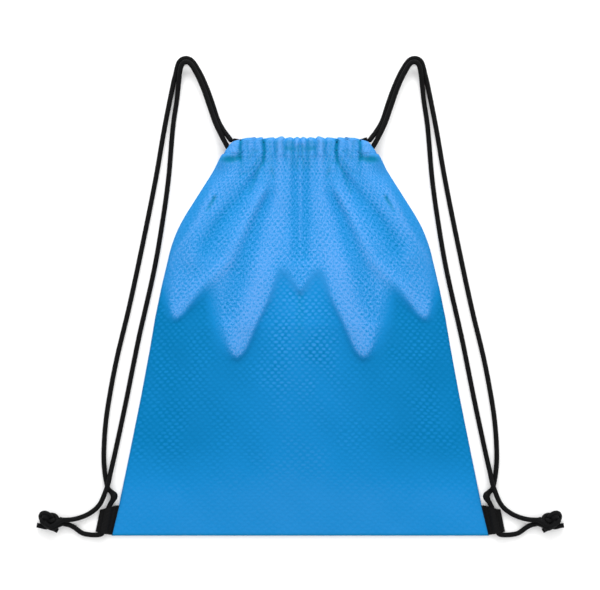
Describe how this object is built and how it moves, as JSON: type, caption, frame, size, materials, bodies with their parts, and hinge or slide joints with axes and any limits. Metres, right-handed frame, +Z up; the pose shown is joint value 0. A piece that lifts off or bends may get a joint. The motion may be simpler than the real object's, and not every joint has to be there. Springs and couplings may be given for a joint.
{
  "type": "drawstring backpack",
  "caption": "Soft drawstring backpack lying on its back: gathered mouth with cord channels, looped drawcord shoulder straps and webbing corner tabs.",
  "frame": {"origin": "under the middle of the bag, on the surface that its back lies on", "axes": "+X to the right of someone looking at the bag's front with its mouth away from them, +Y towards the mouth, +Z up out of the front"},
  "size_m": [0.534, 0.4878, 0.0402],
  "materials": {
    "fabric": "dobby-woven polyester with a soft sheen, azure blue",
    "seam_thread": "matte sewing thread, blue",
    "webbing": "ribbed polyester webbing, black",
    "tack_thread": "matte sewing thread, black",
    "cord": "round braided polyester cord, black"
  },
  "bodies": {
    "bag": {"front_panel": "fabric", "back_panel": "fabric", "front_hem": "fabric", "back_hem": "fabric", "front_hem_stitching": "seam_thread", "back_hem_stitching": "seam_thread", "left_side_seam": "fabric", "right_side_seam": "fabric", "bottom_seam": "fabric", "left_corner_tab": "webbing", "right_corner_tab": "webbing", "left_bar_tack": "tack_thread", "right_bar_tack": "tack_thread", "left_channel_cord": "cord", "right_channel_cord": "cord", "left_tab_cord": "cord", "right_tab_cord": "cord"},
    "left_strap": {"left_strap_outer": "cord", "left_strap_inner": "cord"},
    "left_tail": {"left_tail_upper": "cord", "left_tail_lower": "cord", "left_knot": "cord"},
    "right_strap": {"right_strap_outer": "cord", "right_strap_inner": "cord"},
    "right_tail": {"right_tail_upper": "cord", "right_tail_lower": "cord", "right_knot": "cord"}
  },
  "joints": [
    {"name": "left_strap_lift", "type": "hinge", "parent": "bag", "child": "left_strap", "pos_m": [-0.0702, 0.1991, 0.0108], "axis": [0.335, 0.9421, 0.015], "range_deg": [0, 85]},
    {"name": "left_tail_lift", "type": "hinge", "parent": "bag", "child": "left_tail", "pos_m": [-0.1976, -0.1582, 0.0082], "axis": [0.068, 0.9943, 0.0821], "range_deg": [0, 120]},
    {"name": "right_strap_lift", "type": "hinge", "parent": "bag", "child": "right_strap", "pos_m": [0.0702, 0.1991, 0.0108], "axis": [0.335, -0.9421, -0.015], "range_deg": [0, 85]},
    {"name": "right_tail_lift", "type": "hinge", "parent": "bag", "child": "right_tail", "pos_m": [0.1976, -0.1582, 0.0082], "axis": [0.068, -0.9943, -0.0821], "range_deg": [0, 120]}
  ]
}
